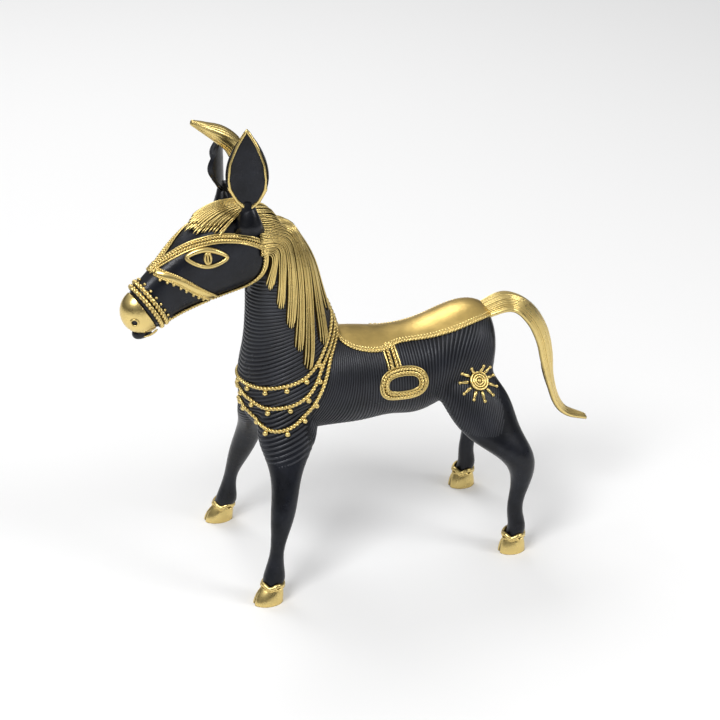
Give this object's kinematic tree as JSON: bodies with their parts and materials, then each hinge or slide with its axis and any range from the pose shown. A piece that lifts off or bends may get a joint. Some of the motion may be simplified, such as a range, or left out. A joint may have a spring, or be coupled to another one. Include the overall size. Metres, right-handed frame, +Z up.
{
  "type": "horse statuette",
  "caption": "Free-standing cast horse with thread-wound black body, gold saddle, mane, bridle, necklaces and arched tail.",
  "frame": {"origin": "middle of the footprint box, on the ground under the hooves", "axes": "-X is the way the horse faces, +Z is up, -Y is the horse's left side"},
  "size_m": [0.2492, 0.0982, 0.2463],
  "materials": {
    "blackened_brass": "satin black patina over cast brass",
    "polished_brass": "polished, dark in the crevices",
    "satin_brass": "satin, lightly scratched",
    "aged_brass": "brushed outside, dull inside",
    "fired_clay": "rough fired clay"
  },
  "bodies": {
    "root": {"body_casting": "blackened_brass", "clay_core": "fired_clay", "forelock": "polished_brass", "front_left_fetlock_band": "polished_brass", "front_left_hoof": "polished_brass", "front_left_leg": "blackened_brass", "front_right_fetlock_band": "polished_brass", "front_right_hoof": "polished_brass", "front_right_leg": "blackened_brass", "head_casting": "blackened_brass", "left_bridle_drops": "polished_brass", "left_brow_strip": "polished_brass", "left_cheek_strap": "polished_brass", "left_ear": "blackened_brass", "left_ear_rim": "polished_brass", "left_eye_rim": "polished_brass", "left_jaw_cord": "polished_brass", "left_mane": "polished_brass", "left_nose_strap": "polished_brass", "left_noseband_drops": "polished_brass", "left_pupil": "polished_brass", "left_stirrup_ring": "polished_brass", "left_stirrup_strap": "polished_brass", "left_sun_disc": "polished_brass", "left_sun_rays": "polished_brass", "lower_lip": "blackened_brass", "lower_necklace": "polished_brass", "lower_necklace_beads": "polished_brass", "middle_necklace": "polished_brass", "middle_necklace_beads": "polished_brass", "muzzle_cap": "polished_brass", "nosebands": "polished_brass", "plume": "polished_brass", "rear_left_fetlock_band": "polished_brass", "rear_left_hoof": "polished_brass", "rear_left_leg": "blackened_brass", "rear_right_fetlock_band": "polished_brass", "rear_right_hoof": "polished_brass", "rear_right_leg": "blackened_brass", "right_bridle_drops": "polished_brass", "right_brow_strip": "polished_brass", "right_cheek_strap": "polished_brass", "right_ear": "blackened_brass", "right_ear_rim": "polished_brass", "right_eye_rim": "polished_brass", "right_jaw_cord": "polished_brass", "right_mane": "polished_brass", "right_nose_strap": "polished_brass", "right_noseband_drops": "polished_brass", "right_pupil": "polished_brass", "right_stirrup_ring": "polished_brass", "right_stirrup_strap": "polished_brass", "right_sun_disc": "polished_brass", "right_sun_rays": "polished_brass", "saddle_rope_edge": "polished_brass", "saddle_sheet": "satin_brass", "tail_edge_wires": "polished_brass", "tail_sheet": "aged_brass", "upper_necklace": "polished_brass", "upper_necklace_beads": "polished_brass"}
  },
  "joints": []
}
